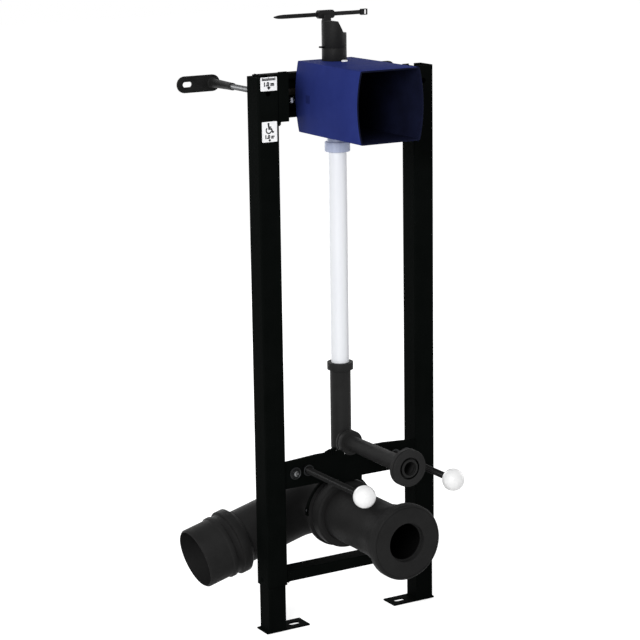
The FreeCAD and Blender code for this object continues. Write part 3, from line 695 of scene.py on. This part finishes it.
# Flush pipe and its nut
# White polypropylene pipe from the box down to the bend, held under the box by a threaded neck with a
# pale union nut, moulded with grip flats.

# Extruded polypropylene: a satin white with faint streaks along the pipe from the die.
white_pipe = surface("extruded_white_polypropylene", "#e4e6ec", "#eff1f4", patch=30, grain=2.5, depth=0.02,
                     smooth=0.28, rough=0.4, shader={"IOR": 1.49}, slot="white_pipe", stretch=(1, 1, 0.06))
# Moulded polypropylene tinted a pale blue grey, from a blasted tool, so it shines less than the pipe.
nut_moulding = surface("moulded_pale_polypropylene", "#a8b0c9", "#b3bbd1", patch=14, grain=2, depth=0.02,
                       smooth=0.36, rough=0.48, shader={"IOR": 1.49, "Specular IOR Level": 0.3},
                       slot="pale_nut")
finish(white_pipe, "flush_pipe")
flush_y = 36.5
box_bottom = 875.0
grips = 24
grip_depth = 0.35
grip_radius = 21.9
union = [(0, 16), (0, 17.5), (15.6, 17.5), (16.4, 17.8), (16.5, 21.0), (16.9, 21.8), (17.7, 22.2),
         (32.4, 22.2), (33.2, 21.8), (33.5, 21.2), (33.5, 16.4), (33.1, 16), (0, 16)]


def gripped(s, a, r):
    """The swell that sets a shallow flat into the nut's outside between every two grips."""
    return r - grip_depth if r > grip_radius and math.cos(grips * a) > 0.3 else r


union_piece = add_turned("flush_nut_moulding", union, (0, flush_y, box_bottom), -upward, "frame",
                         nut_moulding, steps=grips * 6, swell=gripped)
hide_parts("flush_nut")


# Flush bend, ring and seal
# Black polyethylene moulding: a collar round the pipe, a straight drop with a rounded foot, and the
# run forward to the ring with a rubber seal for the bowl's inlet.

# The same polyethylene as the waste parts from another tool, a shade lighter and finer in its grain.
flush_polyethylene = surface("fine_moulded_black_polyethylene", "#202020", "#272727", patch=30, grain=4,
                             depth=0.06, smooth=0.46, rough=0.62,
                             shader={"IOR": 1.5, "Specular IOR Level": 0.06}, slot="black_polyethylene")
# Moulded rubber: matt and slightly grey, with a thin lip towards the bore.
seal_rubber = surface("moulded_black_rubber", "#0f0f0f", "#181818", patch=10, grain=1.5, depth=0.03,
                      smooth=0.62, rough=0.78, shader={"IOR": 1.52, "Specular IOR Level": 0.15},
                      slot="seal_rubber")
# A smooth, near black liner in the groove round the lip: painted shade for the groove's depth.
painted_groove_shade_rubber = surface("black_rubber_painted_groove_shade", "#040404", "#080808", patch=10, grain=1.5, depth=0.005,
                        smooth=0.3, rough=0.42, shader={"IOR": 1.52, "Specular IOR Level": 0.08},
                        slot="seal_rubber")
finish(flush_polyethylene, "flush_bend")
soften(0.5, "flush_bend")
flush_z = 324.5
ring_front = -189.0
seal_front = ring_front - 1.5
ring = [(0, 20.5), (0.3, 21), (0.3, 30), (0, 30.6), (0, 31.4), (0.3, 32), (1.0, 32.3), (2.4, 32.4),
        (2.8, 32.1), (3.0, 30.3), (5.0, 30.3), (5.2, 32), (5.8, 32.5), (13, 32.5), (13.5, 32), (13.5, 15.2),
        (13.1, 15), (8, 15), (8, 19.3), (0.4, 19.3), (0, 19.7), (0, 20.5)]
ring_piece = add_turned("flush_ring_moulding", ring, (0, ring_front, flush_z), backward, "frame",
                        flush_polyethylene, steps=80)
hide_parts("flush_connector")
seal = [(0.4, 12.2), (0, 12.8), (0, 13.6), (0.5, 14.4), (1.3, 15.8), (2.2, 16), (6.5, 16), (6.5, 19.2),
        (9.5, 19.2), (9.5, 12.6), (8.6, 12), (5.2, 12), (4.4, 12.8), (3.2, 12.8), (2.4, 12), (0.8, 12),
        (0.4, 12.2)]
seal_piece = add_turned("flush_seal_moulding", seal, (0, seal_front, flush_z), backward, "frame",
                        seal_rubber, steps=64)
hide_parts("flush_seal")
# The liner over the seal's groove, a dark sheet of painted shade.
groove = [(2.0, 19.28), (2.0, 18.95), (6.2, 18.95), (6.2, 16.3), (2.6, 16.3), (2.6, 16.02), (6.48, 16.02),
          (6.48, 19.28), (2.0, 19.28)]
add_turned("flush_seal_painted_groove_shade", groove, (0, seal_front, flush_z), backward, "frame", painted_groove_shade_rubber,
           steps=64)


# Brackets, arms and rail behind the box
# Bent and cut steel plate: an angle on each upright, a flat arm back from it, and a channel between
# the arms that the box leans on. Dome headed screws on spacers and two small plates hold its back.

arm_inner = 129.5
for hand, sign in hands.items():
    finish(powder_coat, hand + "_box_bracket", hand + "_box_arm")
    soften(0.5, hand + "_box_bracket", hand + "_box_arm")
    x = sign * arm_inner
    for place, z in {"upper": 978, "lower": 901}.items():
        add_bead(f"{hand}_arm_{place}_weld", [(x, 79, z), (x, 95, z)], rightward, 1.3, "frame")
finish(powder_coat, "box_rail")
soften(0.5, "box_rail")

# Blue passivated zinc on the screws' domes, brighter and bluer than the turned parts.
bright_zinc = surface("blue_passivated_zinc", "#9193a0", "#b4b6c2", patch=5, grain=0.8, depth=0.01,
                      smooth=0.25, rough=0.4, shader={"Metallic": 1.0}, slot="zinc_plated_steel")
# Yellow chromate over zinc, aged to a dull brown, as on the plates that the screws hold.
chromate = surface("yellow_chromated_steel", "#2b2724", "#3c3733", patch=6, grain=1, depth=0.02,
                   smooth=0.4, rough=0.55, shader={"Metallic": 0.7}, slot="zinc_plated_steel")
rail_web = 95.5
dome_x = 63.0
dome_z = 929.8
spacer_end = 13.5
spacer = [(0, 0), (0, 4.6), (0.4, 5), (spacer_end - 0.5, 5), (spacer_end, 4.6), (spacer_end, 0)]
dome = [(spacer_end, 0), (spacer_end, 5.6)]
for i in range(1, 16):
    turn = math.radians(6 * i)
    dome.append((spacer_end + 0.4 + 5.2 * math.sin(turn), 6 * math.cos(turn)))
hold_x = 55.2
hold_plate = [(-9, 938, 1.2), (9, 938, 1.2), (9, 949, 1.2), (-9, 949, 1.2)]
for hand, sign in hands.items():
    start = (sign * dome_x, rail_web, dome_z)
    add_turned(hand + "_dome_spacer", spacer, start, -backward, "frame", painted_shade_zinc, steps=32)
    add_turned(hand + "_dome_screw", dome, start, -backward, "frame", bright_zinc, steps=32)
    hold = [(sign * hold_x + x, z, size) for x, z, size in hold_plate]
    add_flat(hand + "_hold_plate", [rounded(hold)], rail_web - 2, rail_web, "frame", chromate)


# Box for the flush valve
# Blue polystyrene moulding with 3 mm walls, open towards the room for the valve and its button plate.
# Its side walls bow outwards, its corners are round, and it narrows a little to the back.

# Polystyrene from a finely blasted tool: a deep matt blue that hardly reflects.
blue_moulding = surface("moulded_blue_polystyrene", "#242e6a", "#2b3676", patch=70, grain=3, depth=0.03,
                        smooth=0.5, rough=0.64, shader={"IOR": 1.55, "Specular IOR Level": 0.006},
                        slot="blue_moulding")
# The core side of the same wall is coarser still; its dark, dull blue is painted shade for the box's inside.
inside_blue_painted_shade = surface("blue_polystyrene_inside_painted_shade", "#0e101f", "#14172c", patch=40, grain=3, depth=0.03,
                      smooth=0.7, rough=0.85, shader={"IOR": 1.55, "Specular IOR Level": 0.02},
                      slot="blue_moulding")
box_front = -137.0
box_back = 76.0
box_top = 998.0
box_wall = 3.0
edge_half = 58.0
edge_taper = 4.0
bow = 7.5
bow_taper = 1.5
bow_steps = 14


def half_width(y, rise):
    """Half the box's width at a depth and a share of its height, from its edges' width and its bow."""
    back = (y - box_front) / (box_back - box_front)
    return edge_half - edge_taper * back + (bow - bow_taper * back) * (1 - (2 * rise - 1) ** 2)


def box_loop(y, inset, corner):
    """Points round the box at one depth, set in from its outer face."""
    half = half_width(y, 0) - inset
    low = box_bottom + inset
    high = box_top - inset
    rises = [i / bow_steps for i in range(1, bow_steps)]
    side = [(half_width(y, rise) - inset, low + (high - low) * rise, 0) for rise in rises]
    outline = [(-half, low, corner), (half, low, corner)] + side
    outline += [(half, high, corner), (-half, high, corner)] + [(-x, z, size) for x, z, size in side[::-1]]
    return [(x, y, z) for x, z in rounded(outline, steps=5)]


def add_loops(name, loops, body, material):
    """A skin over closed loops of points, one after another, open or shut by a face at its ends."""
    count = len(loops[0])
    faces = []
    for row in range(len(loops) - 1):
        for i in range(count):
            j = (i + 1) % count
            faces.append((row * count + i, row * count + j, (row + 1) * count + j, (row + 1) * count + i))
    if loops[0] != loops[-1]:
        last = (len(loops) - 1) * count
        faces += [list(range(count)), list(range(last, last + count))]
    return add_piece(name, [point for loop in loops for point in loop], faces, body, material)


# Loops from the back wall forward inside, over the rounded rim, and back outside.
rim = [(1.0, 3.0), (0.5, 2.86), (0.14, 2.5), (0, 2.0), (0, 1.0), (0.14, 0.5), (0.5, 0.14), (1.0, 0)]
box_inner = [(y, box_wall, 1.6) for y in (box_back - box_wall, box_back - 70, box_front + 70)]
box_rim = [(box_front + y, inset, 1.6 + 1.6 * (box_wall - inset) / box_wall) for y, inset in rim]
box_outer = [(-60, 0, 3.2), (-47, 0, 3.2), (-44, 0, 0.8), (0, 0, 0.8), (box_back - 1.5, 0, 0.8),
             (box_back - 0.4, 0.4, 1), (box_back, 1.5, 1)]
loops = [box_loop(*depth) for depth in box_inner + box_rim + box_outer]
box_piece = add_loops("valve_box_moulding", loops, "frame", blue_moulding)
# The inside faces and the inner back wall take that darker blue of painted shade.
box_piece.data.materials.append(inside_blue_painted_shade)
inside_rows = len(box_inner + box_rim) - 2
back_wall = (len(loops) - 1) * len(loops[0])
for face in box_piece.data.polygons:
    if face.index < inside_rows * len(loops[0]) or face.index == back_wall:
        face.material_index = 1
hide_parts("valve_box")

# White plug in the spare hole of the top.
plug = [(0, 0), (0, 5.5), (1.0, 5.5), (1.9, 5.1), (2.5, 4.0), (2.8, 2.4), (2.6, 1.8), (2.6, 0)]
add_turned("box_top_plug", plug, (4, 16, box_top), upward, "frame", white_ball, steps=32)

# A darker square on the side, a thin plate just proud of the wall: painted shade for a small dimple.
dimple_blue_painted_shade = surface("blue_polystyrene_dimple_painted_shade", "#1b2253", "#212a5f", patch=12, grain=3, depth=0.03,
                    smooth=0.5, rough=0.64, shader={"IOR": 1.55, "Specular IOR Level": 0.006},
                    slot="blue_moulding")
dimple_shade = []
for y, z in rounded([(24, 929, 1.5), (38, 929, 1.5), (38, 943, 1.5), (24, 943, 1.5)]):
    dimple_shade.append((-half_width(y, (z - box_bottom) / (box_top - box_bottom)), y, z))
sides = [[(x + deep, y, z) for x, y, z in dimple_shade] for deep in (-0.25, 1)]
add_loops("box_side_knock_out", sides, "frame", dimple_blue_painted_shade)


# Water inlet on the box
# Grey polyamide base and a cap with a sloped face, pushed on over a thin seam, with a pull tab that
# has a thicker finger grip.

# Glass filled polyamide: the fibres dull its face to an even dark grey.
grey_moulding = surface("moulded_grey_polyamide", "#151515", "#1c1c1c", patch=20, grain=2, depth=0.03,
                        smooth=0.52, rough=0.66, shader={"IOR": 1.53, "Specular IOR Level": 0.1},
                        slot="grey_moulding")
finish(grey_moulding, "inlet_base", "inlet_cap")
soften(0.5, "inlet_base", "inlet_cap")
grip = rounded([(-28.3, 39, 1), (-21, 39, 0), (-21, 47, 0), (-28.3, 47, 1)])
add_loops("inlet_cap_grip", [[(x, y, z) for x, y in grip] for z in (1020.6, 1023.4)], "frame", grey_moulding)


# Post and cable tie
# The post stands behind the inlet and holds a block with a slit. A nylon strap with a pointed tail
# lies through the slit, ready to tie the supply pipe down.

# Nylon from a plain steel tool: a dark tone with the soft sheen of a fine satin.
nylon = surface("moulded_black_nylon", "#141414", "#1c1c1c", patch=15, grain=1.5, depth=0.02, smooth=0.42,
                rough=0.55, shader={"IOR": 1.53, "Specular IOR Level": 0.12}, slot="black_nylon")
# The post is the same nylon in another batch, a little more even in tone.
post_nylon = surface("moulded_grey_nylon", "#151515", "#1b1b1b", patch=15, grain=1.5, depth=0.02,
                     smooth=0.42, rough=0.55, shader={"IOR": 1.53, "Specular IOR Level": 0.12},
                     slot="black_nylon")
finish(post_nylon, "tie_post")
soften(0.5, "tie_post")
tie_z = 1075.0
tie_y = 71.5
strap = [(-102, -0.8, 0.7), (-96, -2.9, 3), (-86, -3.5, 4), (71.5, -3.5, 0), (71.5, 3.5, 0), (-84, 3.5, 5),
         (-95, 2.6, 4), (-102, 0.8, 0.7)]
strap_half = 0.8
outline = rounded([(x, tie_z + z, size) for x, z, size in strap])
strap_loops = [[(x, tie_y + deep, z) for x, z in outline] for deep in (-strap_half, strap_half)]
strap_piece = add_loops("cable_tie_strap", strap_loops, "frame", nylon)
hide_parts("cable_tie")

# Head: a small frame with a window for the tail.
outer = rounded([(71, -5.3, 1.2), (84.5, -5.3, 1.2), (84.5, 5.3, 1.2), (71, 5.3, 1.2)])
window = rounded([(78.3, -4, 0.8), (83.3, -4, 0.8), (83.3, 4, 0.8), (78.3, 4, 0.8)])
head_half = 2.0
turns = [(outer, -head_half), (outer, head_half), (window, head_half), (window, -head_half),
         (outer, -head_half)]
head_loops = [[(x, tie_y + deep, tie_z + z) for x, z in loop] for loop, deep in turns]
head_piece = add_loops("cable_tie_head", head_loops, "frame", nylon)
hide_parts("cable_tie")

# Ratchet teeth across the strap, one every 1.2 mm.
tooth_gap = 1.2
low = tie_z - 2.4
high = tie_z + 2.4
teeth = []
for i in range(46):
    x = -74 + tooth_gap * i
    teeth.append([(x, low), (x + 1.0, low), (x + 0.9, high), (x + 0.1, high)])
tooth_foot = tie_y - strap_half
add_flat("cable_tie_teeth", teeth, tooth_foot - 0.25, tooth_foot, "frame", nylon)


# Wall anchors
# Zinc plated M10 rods clamped in the tops of the uprights between two nuts. A tapered nylon sleeve
# with a slotted steel plate is screwed on each, to set the distance to the wall.

# Zinc on rolled thread, painted greyer than the turned parts as shade for the thread's flanks.
painted_shade_rolled_zinc = surface("rolled_thread_zinc_painted_shade", "#4e4f50", "#666768", patch=7, grain=0.8, depth=0.01,
                      smooth=0.34, rough=0.48, shader={"Metallic": 1.0}, slot="zinc_plated_steel")
# Stamped plate, phosphated and oiled black: a soft sheen that shows its rolled edge.
stamped_black = surface("black_phosphated_plate", "#131313", "#1d1d1d", patch=16, grain=1.5, depth=0.03,
                        smooth=0.42, rough=0.58, shader={"IOR": 1.5, "Specular IOR Level": 0.1},
                        slot="black_steel")
anchor_z = 956.0
sleeve = [(0.5, 5.1), (0, 5.6), (0, 6.1), (0.5, 6.5), (3, 6.6), (3.4, 5.9), (5.2, 5.9), (5.6, 6.5),
          (71, 7.9), (73.5, 8.6), (75.4, 10), (76, 10), (76, 0), (72, 0), (72, 5.1), (0.5, 5.1)]
for hand, sign in hands.items():
    x = sign * leg_x
    body = hand + "_wall_anchor"
    rod_piece = add_threaded_rod(hand + "_anchor_rod_thread", 10, 1.5, (x, 24, anchor_z), 150, "frame",
                                 painted_shade_rolled_zinc)
    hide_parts(hand + "_anchor_rod")
    for place, y in {"rear": 40, "front": 29.5}.items():
        nut_piece = add_nut(f"{hand}_anchor_{place}_nut", 17, 8, 10, (x, y, anchor_z), "frame", black_steel)
        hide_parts(hand + "_anchor_nuts")
    sleeve_piece = add_turned(hand + "_anchor_sleeve_moulding", sleeve, (x, 124, anchor_z), backward, body,
                              nylon)
    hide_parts(hand + "_anchor_sleeve")
    finish(stamped_black, hand + "_anchor_plate")
    soften(0.9, hand + "_anchor_plate")


# Floor, lamps and camera
# A plain white floor and background, three large soft lamps, and the photograph's viewing angle. The
# white of floor and background is for the camera and for reflections, and puts no light on the object.

def seen_direct(tree):
    """1 for what the camera sees, directly or in a gloss or clear surface, else 0."""
    rays = add_node(tree, "ShaderNodeLightPath")
    seen = rays.outputs["Is Camera Ray"]
    for kind in ("Is Glossy Ray", "Is Transmission Ray"):
        either = add_node(tree, "ShaderNodeMath", {"operation": "MAXIMUM"}, {0: seen, 1: rays.outputs[kind]})
        seen = either.outputs[0]
    return seen


floor_half = 12.0
floor_mesh = bpy.data.meshes.new("floor")
floor_corners = [(-floor_half, -floor_half, 0), (floor_half, -floor_half, 0), (floor_half, floor_half, 0),
                 (-floor_half, floor_half, 0)]
floor_mesh.from_pydata(floor_corners, [], [(0, 1, 2, 3)])
floor = bpy.data.objects.new("floor", floor_mesh)
bpy.context.scene.collection.objects.link(floor)
# White seamless paper: matt, with just enough of its own light to the camera to meet the background.
paper_lift = 0.68
floor_paper = bpy.data.materials.new("white_seamless_paper")
floor_paper.use_nodes = True
tree = floor_paper.node_tree
tree.nodes.clear()
lift = add_node(tree, "ShaderNodeMath", {"operation": "MULTIPLY", 1: paper_lift}, {0: seen_direct(tree)})
glow = add_node(tree, "ShaderNodeEmission", {"Color": (1, 1, 1, 1)}, {"Strength": lift.outputs[0]})
place = add_node(tree, "ShaderNodeTexCoord")
fibre = add_node(tree, "ShaderNodeTexNoise", {"Scale": 1 / (2 * mm), "Detail": 3},
                 {"Vector": place.outputs["Object"]})
tooth = add_node(tree, "ShaderNodeBump", {"Strength": 0.2, "Distance": 0.05 * mm},
                 {"Height": fibre.outputs["Fac"]})
matt = add_node(tree, "ShaderNodeBsdfDiffuse", {"Color": linear("#e4e4e4")}, {"Normal": tooth.outputs[0]})
mixed = add_node(tree, "ShaderNodeAddShader", (), {0: glow.outputs[0], 1: matt.outputs[0]})
add_node(tree, "ShaderNodeOutputMaterial", (), {"Surface": mixed.outputs[0]})
floor_mesh.materials.append(floor_paper)

scene = bpy.context.scene
world = bpy.data.worlds.new("studio")
scene.world = world
world.use_nodes = True
tree = world.node_tree
tree.nodes.clear()
room_light = 0.42
soft = add_node(tree, "ShaderNodeBackground", {"Color": (1, 1, 1, 1), "Strength": room_light})
white = add_node(tree, "ShaderNodeBackground", {"Color": (1, 1, 1, 1), "Strength": 1.0})
chosen = add_node(tree, "ShaderNodeMixShader", (),
                  {0: seen_direct(tree), 1: soft.outputs[0], 2: white.outputs[0]})
add_node(tree, "ShaderNodeOutputWorld", (), {"Surface": chosen.outputs[0]})

# Each lamp's place and size in metres and its power in watts, all turned to the middle of the frame.
middle = (cad_box[0] + cad_box[1]) / 2
lamps = {"key": ((-2.5, -2.4, 1.95), 1.5, 96), "fill": ((2.9, 0.2, 1.2), 2.0, 26),
         "back": ((0.3, 3.0, 1.1), 2.0, 26)}
for name, (place, size, watts) in lamps.items():
    lamp = bpy.data.lights.new(name, "AREA")
    lamp.size = size
    lamp.energy = watts
    holder = bpy.data.objects.new(name, lamp)
    holder.location = place
    holder.rotation_euler = (middle - Vector(place)).to_track_quat("-Z", "Y").to_euler()
    scene.collection.objects.link(holder)

# The camera's place, angles and focal length in pixels are those fitted to the photograph.
picture_size = 640
focal_pixels = 2171.3
azimuth, elevation, roll = (math.radians(a) for a in (30.466, 12.710, -0.855))
forward = Vector((math.sin(azimuth) * math.cos(elevation), math.cos(azimuth) * math.cos(elevation),
                  -math.sin(elevation)))
level = Vector((math.cos(azimuth), -math.sin(azimuth), 0))
over = level.cross(forward)
right = level * math.cos(roll) + over * math.sin(roll)
top = over * math.cos(roll) - level * math.sin(roll)
lens = bpy.data.cameras.new("camera")
lens.sensor_width = 36
lens.lens = focal_pixels / picture_size * lens.sensor_width
camera = bpy.data.objects.new("camera", lens)
facing = Matrix((right, top, -forward)).transposed().to_4x4()
camera.matrix_world = Matrix.Translation(spot(-1923.7, -3165.5, 1384.2)) @ facing
scene.collection.objects.link(camera)
scene.camera = camera
scene.view_settings.view_transform = "Standard"
